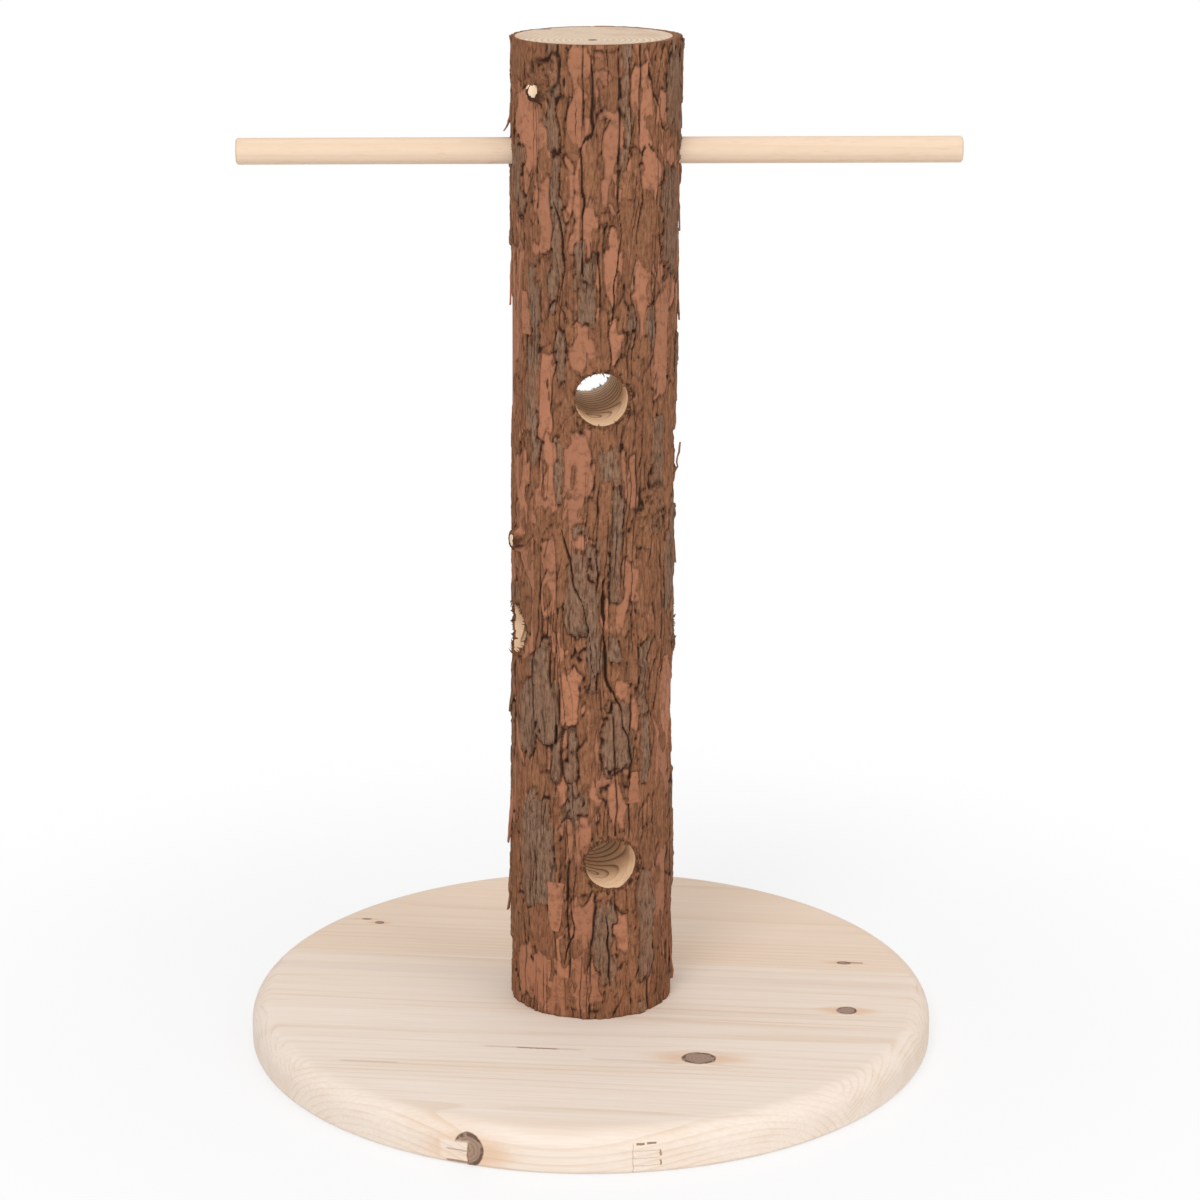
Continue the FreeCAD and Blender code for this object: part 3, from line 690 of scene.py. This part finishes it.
flat_points = points.reshape(-1, 3).copy()
flat_tones = tones.reshape(-1, 4).copy()
flat_shade = shade.ravel()
inside_any = np.zeros(len(flat_points), bool)
hole_of = np.full(len(flat_points), -1)
ragged = (bark_noise(120, 0.004) * 1.8 * MM).ravel()
frayed = bark_noise(60, 0.004).ravel()
fringe = layered_noise(angle, height, 150, 0.0024, 2, 0.7).ravel()
for count, hole in enumerate(bark_holes):
    axis, lateral, from_axis = from_hole(hole, flat_points)
    gap = np.hypot(from_axis @ lateral, from_axis[:, 2])
    limit = hole.torn + ragged * hole.ragged
    inside_any |= gap < limit
    hole_of[(gap >= limit) & (gap < limit + TEAR_REACH)] = count
    fray_reach = hole.fray * (1 + 1.4 * frayed)
    fray = smooth(0.0, 0.5, 1 - (gap - limit) / fray_reach) * (gap >= limit)
    flat_tones[:, 0] *= 1 - fray
    flat_tones[:, 1] *= 1 - fray
    flat_tones[:, 2] = np.maximum(flat_tones[:, 2], fray)
    fringed = 0.85 * fray * smooth(-0.05, 0.25, fringe)
    flat_tones[:, 3] = np.maximum(flat_tones[:, 3] * (1 - fray), fringed)

index = np.arange(AROUND * UPRIGHT).reshape(UPRIGHT, AROUND)
next_round = np.roll(index, -1, 1)
corner = np.stack([index[:-1], next_round[:-1], next_round[1:], index[1:]], -1).reshape(-1, 4)
kept = corner[~inside_any[corner].any(1)]
edges = np.concatenate([kept[:, [i, (i + 1) % 4]] for i in range(4)])
forward = edges[:, 0].astype(np.int64) * len(flat_points) + edges[:, 1]
backward = edges[:, 1].astype(np.int64) * len(flat_points) + edges[:, 0]
border = edges[~np.isin(forward, backward)]
rim = np.unique(border)
lip_ring = np.empty((len(rim), 3))
wood_ring = np.empty((len(rim), 3))
rim_spot = np.stack([angle.ravel()[rim], share.ravel()[rim]], 1)
inward_spot = np.zeros((len(rim), 2))
for order, vertex in enumerate(rim):
    row = vertex // AROUND
    core = float(stem(STEM_RADIUS, row / (UPRIGHT - 1)))
    place = flat_points[vertex]
    if row in (0, UPRIGHT - 1):
        heading = math.atan2(place[1], place[0] - LOG_OFFSET)
        wood_ring[order] = (LOG_OFFSET + core * math.cos(heading), core * math.sin(heading), place[2])
        lip_ring[order] = (place + wood_ring[order]) / 2
        inward_spot[order] = (0.0, 0.03 if row else -0.03)
        continue
    hole = bark_holes[hole_of[vertex]]
    axis, lateral, from_axis = from_hole(hole, place)
    side_offset = from_axis @ lateral
    gap = math.hypot(side_offset, from_axis[2])
    move = (hole.torn + ragged[vertex] * hole.ragged) / gap - 1
    flat_points[vertex] = place + lateral * side_offset * move + np.array([0, 0, from_axis[2] * move])
    across = side_offset / gap * hole.bore
    wall = lateral * across + np.array([LOG_OFFSET, 0, hole.level + from_axis[2] / gap * hole.bore])
    out = axis * (1 if from_axis @ axis > 0 else -1)
    along = math.sqrt(core * core - across * across)
    wood_ring[order] = wall + out * along
    lip_ring[order] = wall + out * max(along, abs(from_axis @ axis) - LIP_DEPTH)
    mouth = (math.atan2(out[1], out[0]), (hole.level - LOG_FOOT) / LOG_LENGTH)
    inward_spot[order] = mouth - rim_spot[order]
inward_spot[:, 0] = wrapped(inward_spot[:, 0])

# The walls of the holes and the sawn edges: from the skin to the lip, and from the lip to the wood.
LIP_TONE = (0.0, 0.1, 0.9, 0.25)
DRILLED_TONE = (1.0, 1.0, 0.0, 0.0)
SAWN_TONE = (0.0, 0.0, 1.0, 0.0)
WALL_SPOTS = (0.12, 0.12, 0.40)
QUARTER_TURN = math.pi / 2
skin_count = len(flat_points)
ring_count = len(rim)
lookup = np.full(skin_count, -1)
lookup[rim] = np.arange(ring_count)
first = lookup[border[:, 0]] + skin_count
second = lookup[border[:, 1]] + skin_count
lip_wall = np.stack([border[:, 1], border[:, 0], first, second], -1)
drilled_wall = np.stack([second + ring_count, first + ring_count, first + 2 * ring_count,
                         second + 2 * ring_count], -1)
all_faces = np.concatenate([kept, lip_wall, drilled_wall])
all_points = np.concatenate([flat_points, lip_ring, lip_ring, wood_ring])
sawn = (rim // AROUND == 0) | (rim // AROUND == UPRIGHT - 1)
drilled_tones = np.where(sawn[:, None], SAWN_TONE, DRILLED_TONE)
lip_tones = np.where(sawn[:, None], SAWN_TONE, LIP_TONE)
all_tones = np.concatenate([flat_tones, lip_tones, drilled_tones, drilled_tones])
all_shade = np.concatenate([flat_shade, np.full(3 * ring_count, 0.5)])
skin_spot = np.stack([angle.ravel(), share.ravel()], 1)
all_spots = np.concatenate([skin_spot] + [rim_spot + step * inward_spot for step in WALL_SPOTS])
middle = all_points[all_faces].mean(1)
quarter = np.floor(np.arctan2(middle[:, 1], middle[:, 0]) / QUARTER_TURN).astype(int) % 4

# Normals of the whole skin, so that no seam shows between the quarters that it is stored in.
face_corners = [all_points[all_faces[:, i]] for i in range(4)]
face_normals = np.cross(face_corners[2] - face_corners[0], face_corners[3] - face_corners[1])
normals = np.zeros_like(all_points)
for i in range(4):
    np.add.at(normals, all_faces[:, i], face_normals)
normals /= np.maximum(np.linalg.norm(normals, axis=1), 1e-12)[:, None]

BARK_BROWN = (0.325, 0.136, 0.066, 1.0)
BARK_SALMON = (0.460, 0.193, 0.106, 1.0)
BARK_GREY = (0.270, 0.165, 0.108, 1.0)
BARK_ORANGE = (0.450, 0.205, 0.095, 1.0)
BARK_CRACK_AND_SHADE = (0.024, 0.010, 0.006, 1.0)
BARK_DARK_THREAD = (0.060, 0.028, 0.016, 1)
BARK_PALE_THREAD = (0.47, 0.27, 0.165, 1)
BARK_SHADE = (0.170, 0.078, 0.042, 1)
BARK_MOTTLE = (0.130, 0.058, 0.032, 1)
# Hole walls through the bark: fresh wood colour, raised paler as painted light in the dim holes.
DRILLED_PALE_LIT = (0.900, 0.650, 0.430, 1.0)
THREAD_SCALE = (1000.0, 1000.0, 210.0)
bark_finish, tree, shader, where = new_finish("bark_strips", 0.15)
kinds = add(tree, "ShaderNodeAttribute", attribute_name="bark_kind").outputs
plate_shade = add(tree, "ShaderNodeAttribute", attribute_name="plate_shade").outputs["Fac"]
parts = add(tree, "ShaderNodeSeparateColor", [("Color", kinds["Color"])]).outputs
is_salmon, is_grey, is_orange = parts["Red"], parts["Green"], parts["Blue"]
thread = stretched_noise(tree, where, THREAD_SCALE, 4.0, 0.65)
mottle = noise(tree, where, 360.0, 8.0, 0.62)
drift = noise(tree, where, 45.0, 3.0)
outside = maths(tree, "SUBTRACT", 1.0, is_salmon)
colour = blend_colour(tree, is_grey, BARK_BROWN, BARK_GREY)
colour = blend_colour(tree, times(tree, is_orange, ramp(tree, mottle, 0.35, 0.65)), colour, BARK_ORANGE)
dark_thread = times(tree, ramp(tree, thread, 0.49, 0.63), outside)
dark_thread = times(tree, dark_thread, maths(tree, "ADD", 0.60, times(tree, is_grey, 0.20)))
colour = blend_colour(tree, dark_thread, colour, BARK_DARK_THREAD)
pale_thread = times(tree, ramp(tree, thread, 0.46, 0.30), outside)
colour = blend_colour(tree, times(tree, pale_thread, 0.65), colour, BARK_PALE_THREAD)
flecks = times(tree, ramp(tree, thread, 0.50, 0.70), 0.45)
inner_bark = blend_colour(tree, flecks, BARK_SALMON, BARK_BROWN)
colour = blend_colour(tree, is_salmon, colour, inner_bark)
colour = blend_colour(tree, times(tree, ramp(tree, drift, 0.35, 0.75), 0.35), colour, BARK_BROWN)
colour = blend_colour(tree, times(tree, plate_shade, 0.32), colour, BARK_SHADE)
colour = blend_colour(tree, times(tree, ramp(tree, mottle, 0.48, 0.68), 0.50), colour, BARK_MOTTLE)
# The alpha darkens furrows, cracks and torn fringes, and lays on the painted shade of hollows and the painted
# shadows round burrs and twig stubs.
colour = blend_colour(tree, kinds["Alpha"], colour, BARK_CRACK_AND_SHADE)
drilled_mask = ramp(tree, times(tree, is_salmon, is_grey), 0.45, 0.85)
colour = blend_colour(tree, drilled_mask, colour, DRILLED_PALE_LIT)
tree.links.new(colour, shader.inputs["Base Color"])
dull = maths(tree, "SUBTRACT", 0.92, times(tree, is_salmon, 0.17))
tree.links.new(dull, shader.inputs["Roughness"])
threads_raised = times(tree, thread, maths(tree, "SUBTRACT", 1.05, is_salmon))
roughen(tree, shader, maths(tree, "ADD", threads_raised, times(tree, mottle, 0.45)), 0.9, 1.2 * MM)


def put_in_scene(name, data):
    item = bpy.data.objects.new(name, data)
    bpy.context.scene.collection.objects.link(item)
    return item


UNWRAP_EDGE = 0.04
UNWRAP_SHARE = 0.92
for count, name in enumerate(("bark_back_right", "bark_back_left", "bark_front_left", "bark_front_right")):
    chosen = all_faces[quarter == count]
    used, compact = np.unique(chosen, return_inverse=True)
    mesh = bpy.data.meshes.new(name)
    mesh.from_pydata(all_points[used].tolist(), [], compact.reshape(-1, 4).tolist())
    kind = mesh.color_attributes.new("bark_kind", "FLOAT_COLOR", "POINT")
    kind.data.foreach_set("color", all_tones[used].astype(np.float32).ravel())
    shading = mesh.attributes.new("plate_shade", "FLOAT", "POINT")
    shading.data.foreach_set("value", all_shade[used].astype(np.float32))
    mesh.shade_smooth()
    mesh.normals_split_custom_set_from_vertices(normals[used].tolist())
    spots = all_spots[chosen.ravel()]
    turned = wrapped(spots[:, 0] - (count + 0.5) * QUARTER_TURN)
    unwrapped = np.stack([0.5 + UNWRAP_SHARE * turned / QUARTER_TURN,
                          UNWRAP_EDGE + UNWRAP_SHARE * spots[:, 1]], 1)
    mesh.uv_layers.new(name="OFBake").data.foreach_set("uv", unwrapped.astype(np.float32).ravel())
    mesh.materials.append(bark_finish)
    skin = put_in_scene(name, mesh)
    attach(skin, "tree")
    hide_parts("bark")

# Flakes: thin slips of bark that have come loose at one end and stand off the log, each given by its
# turn round the log, the height of its fast end, its length (down if negative), width and lift.
FLAKES = [
    (178, 388, -7, 5.0, 3.0), (183, 96, -26, 5.0, 1.2), (181, 58, -20, 4.0, 1.4), (186, 148, -17, 5.0, 1.0),
    (2, 419, -37, 9.0, 0.9), (356, 368, -28, 8.0, 0.7), (359, 318, -16, 6.0, 0.9), (0, 232, 17, 1.2, 3.0),
    (357, 38, -32, 8.0, 0.9), (176, 330, -22, 6.0, 1.0), (2, 216, -20, 5.0, 1.0), (300, 98, 14, 5.0, 1.0),
    (215, 300, 18, 6.0, 0.9), (243, 62, -22, 7.0, 1.1), (330, 140, 20, 6.0, 1.0), (60, 210, 26, 7.0, 1.2),
    (110, 340, -24, 6.0, 1.3), (95, 120, 22, 6.0, 1.2), (140, 250, -20, 6.0, 1.1), (35, 60, 24, 6.0, 1.2),
]
FLAKE_STEPS = 9
FLAKE_THICKNESS = 0.7 * MM
FLAKE_SINK = 0.35 * MM
FLAKE_RING = (0, 1, 3, 2)
flake_points = []
flake_faces = []
flake_tones = []
for turn, fast, length, width, lift in FLAKES:
    turn = math.radians(turn)
    is_inner = draw.random() < 0.6
    start = len(flake_points)
    for step in range(FLAKE_STEPS):
        part = step / (FLAKE_STEPS - 1)
        up = (fast + length * part) * MM
        row = int(np.clip(up / LOG_LENGTH, 0, 1) * (UPRIGHT - 1))
        half = width / 2 * MM * (1 - 0.55 * part ** 2) * (0.85 + 0.3 * draw.random())
        for side in (-1, 1):
            around = turn + side * half / OUTER_RADIUS
            column = int(around / FULL_TURN * AROUND) % AROUND
            skin_radius = max(outer[row, column], blurred_outer[row, column])
            base = skin_radius - FLAKE_SINK + lift * MM * part ** 1.6
            for reach in (base, base + FLAKE_THICKNESS):
                flake_points.append((bark_middle[row, column] + reach * math.cos(around),
                                     reach * math.sin(around), LOG_FOOT + up))
                flake_tones.append((is_inner, not is_inner, 0.3, 0.12))
    for step in range(FLAKE_STEPS - 1):
        low = start + 4 * step
        for i, j in zip(FLAKE_RING, FLAKE_RING[1:] + FLAKE_RING[:1]):
            flake_faces.append((low + i, low + j, low + 4 + j, low + 4 + i))
    flake_faces.append([start + i for i in FLAKE_RING])
    flake_faces.append([start + 4 * (FLAKE_STEPS - 1) + i for i in reversed(FLAKE_RING)])

# Fibres: short splinters that the drill left standing round the mouth of each hole.
for vertex in rim[~sawn]:
    hole = bark_holes[hole_of[vertex]]
    place = flat_points[vertex]
    axis, lateral, from_axis = from_hole(hole, place)
    inward = -(lateral * (from_axis @ lateral) + np.array([0, 0, from_axis[2]])) / hole.torn
    out = axis * (1 if from_axis @ axis > 0 else -1)
    beside = np.cross(inward, out)
    size = (0.30 + 1.10 * draw.random() ** 2) * MM * hole.splinter
    foot = place - inward * 0.5 * size - out * 0.3 * size
    tip = place + inward * size * draw.uniform(0.2, 1.3) + out * size * draw.uniform(0.2, 1.4)
    tip = tip + beside * size * draw.uniform(-1, 1)
    start = len(flake_points)
    flake_points += [tuple(foot + beside * 0.5 * size), tuple(foot - beside * 0.5 * size),
                     tuple(foot + out * 0.7 * size), tuple(tip)]
    flake_tones += [(0.0, 0.1, draw.uniform(0.4, 1.0), draw.uniform(0.0, 0.65))] * 4
    flake_faces += [(start, start + 2, start + 1), (start, start + 1, start + 3),
                    (start + 1, start + 2, start + 3), (start + 2, start, start + 3)]
flake_mesh = bpy.data.meshes.new("bark_flakes")
flake_mesh.from_pydata(flake_points, [], flake_faces)
flake_kind = flake_mesh.color_attributes.new("bark_kind", "FLOAT_COLOR", "POINT")
flake_kind.data.foreach_set("color", np.array(flake_tones, np.float32).ravel())
flake_mesh.materials.append(bark_finish)
flakes = put_in_scene("bark_flakes", flake_mesh)
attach(flakes, "tree")
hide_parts("bark")

# Perch
# A round planed dowel of pale close-grained hardwood, its ends eased, pushed through the log.
PERCH_PALE = (0.775, 0.595, 0.440, 1.0)
PERCH_FLECK = (0.700, 0.470, 0.300, 1.0)
FLECK_SCALE = (140.0, 1800.0, 1800.0)
perch_wood, tree, shader, where = new_finish("perch_wood", 0.3)
grain = growth(tree, where, (0.0, 20.0, perch_axis_z / MM - 30.0), 2.6, 4.0).outputs
fleck = stretched_noise(tree, where, FLECK_SCALE, 2.0)
colour = blend_colour(tree, times(tree, grain["Late"], 0.25), PERCH_PALE, PERCH_FLECK)
colour = blend_colour(tree, times(tree, ramp(tree, fleck, 0.56, 0.72), 0.5), colour, PERCH_FLECK)
tree.links.new(colour, shader.inputs["Base Color"])
tree.links.new(maths(tree, "ADD", 0.5, times(tree, fleck, 0.15)), shader.inputs["Roughness"])
roughen(tree, shader, fleck, 0.3, 0.1 * MM)
give_finish("perch", perch_wood)

# Studio
# A plain pale floor that keeps a faint shadow near the base and is white farther off, soft light from
# above and both sides, and the camera of the photograph.
FLOOR_REACH = 30.0
FLOOR_GREY = (0.88, 0.88, 0.88, 1)
SHADOW_SHARE = 0.35
SHADOW_FROM = 0.42
SHADOW_TO = 0.16
WHITE = (1, 1, 1, 1)
AMBIENT = 0.55


def seen_directly(tree):
    # 1 for what the camera sees, straight or by way of gloss or glass.
    path = add(tree, "ShaderNodeLightPath")
    straight = maths(tree, "MAXIMUM", path.outputs["Is Camera Ray"], path.outputs["Is Glossy Ray"])
    return maths(tree, "MAXIMUM", straight, path.outputs["Is Transmission Ray"])


floor_mesh = bpy.data.meshes.new("floor")
floor_mesh.from_pydata([(-FLOOR_REACH, -FLOOR_REACH, 0), (FLOOR_REACH, -FLOOR_REACH, 0),
                        (FLOOR_REACH, FLOOR_REACH, 0), (-FLOOR_REACH, FLOOR_REACH, 0)], [], [(0, 1, 2, 3)])
floor = put_in_scene("floor", floor_mesh)
floor_paint, tree, shader, where = new_finish("floor_paint", 0.5)
shader.inputs["Base Color"].default_value = FLOOR_GREY
shader.inputs["Roughness"].default_value = 0.9
glow = add(tree, "ShaderNodeEmission", [("Color", WHITE), ("Strength", 1.0)])
near_base = ramp(tree, vector(tree, "LENGTH", where), SHADOW_FROM, SHADOW_TO)
white = maths(tree, "SUBTRACT", 1.0, times(tree, near_base, SHADOW_SHARE))
white = times(tree, seen_directly(tree), white)
mixed = add(tree, "ShaderNodeMixShader", [(0, white), (1, shader.outputs[0]), (2, glow.outputs[0])])
tree.links.new(mixed.outputs[0], tree.nodes["Material Output"].inputs["Surface"])
floor_mesh.materials.append(floor_paint)

world = bpy.data.worlds.new("studio")
bpy.context.scene.world = world
world.use_nodes = True
world_tree = world.node_tree
backdrop = world_tree.nodes["Background"]
brightness = add(world_tree, "ShaderNodeMapRange",
                 [("Value", seen_directly(world_tree)), ("To Min", AMBIENT), ("To Max", 1.0)])
world_tree.links.new(brightness.outputs["Result"], backdrop.inputs["Strength"])
backdrop.inputs["Color"].default_value = WHITE

# Each lamp: its place, its width in metres and its power in watts.
LAMPS = [
    ("key", (-0.6, -1.45, 1.65), 0.7, 13.0),
    ("fill", (1.3, -1.1, 1.1), 1.2, 6.5),
    ("front", (-0.1, -2.0, 0.95), 0.6, 6.0),
    ("top", (0.1, 0.3, 2.0), 1.2, 6.0),
]
TARGET = np.array((0.0, 0.0, 0.2))
for name, spot, side, power in LAMPS:
    lamp = bpy.data.lights.new(name, "AREA")
    lamp.size = side
    lamp.energy = power
    lamp_object = put_in_scene(name, lamp)
    lamp_object.location = spot
    heading = np.array(spot) - TARGET
    lamp_object.rotation_euler = (math.acos(heading[2] / np.linalg.norm(heading)), 0.0,
                                  math.atan2(heading[1], heading[0]) + math.pi / 2)

CAMERA_DISTANCE = 1.353
CAMERA_HEIGHT = 0.591
CAMERA_SIDE = 0.004
CAMERA_TILT = 0.283
CAMERA_TURN = math.radians(-1.2)
FOCAL_PIXELS = 3281.0
PHOTO_PIXELS = 1200.0
camera_data = bpy.data.cameras.new("camera")
camera_data.sensor_width = 36.0
camera_data.lens = FOCAL_PIXELS / PHOTO_PIXELS * camera_data.sensor_width
camera = put_in_scene("camera", camera_data)
camera.location = (
    CAMERA_SIDE * math.cos(CAMERA_TURN) + CAMERA_DISTANCE * math.sin(CAMERA_TURN),
    CAMERA_SIDE * math.sin(CAMERA_TURN) - CAMERA_DISTANCE * math.cos(CAMERA_TURN),
    CAMERA_HEIGHT)
camera.rotation_euler = (math.pi / 2 - CAMERA_TILT, 0.0, CAMERA_TURN)
bpy.context.scene.camera = camera
bpy.context.scene.view_settings.view_transform = "Standard"
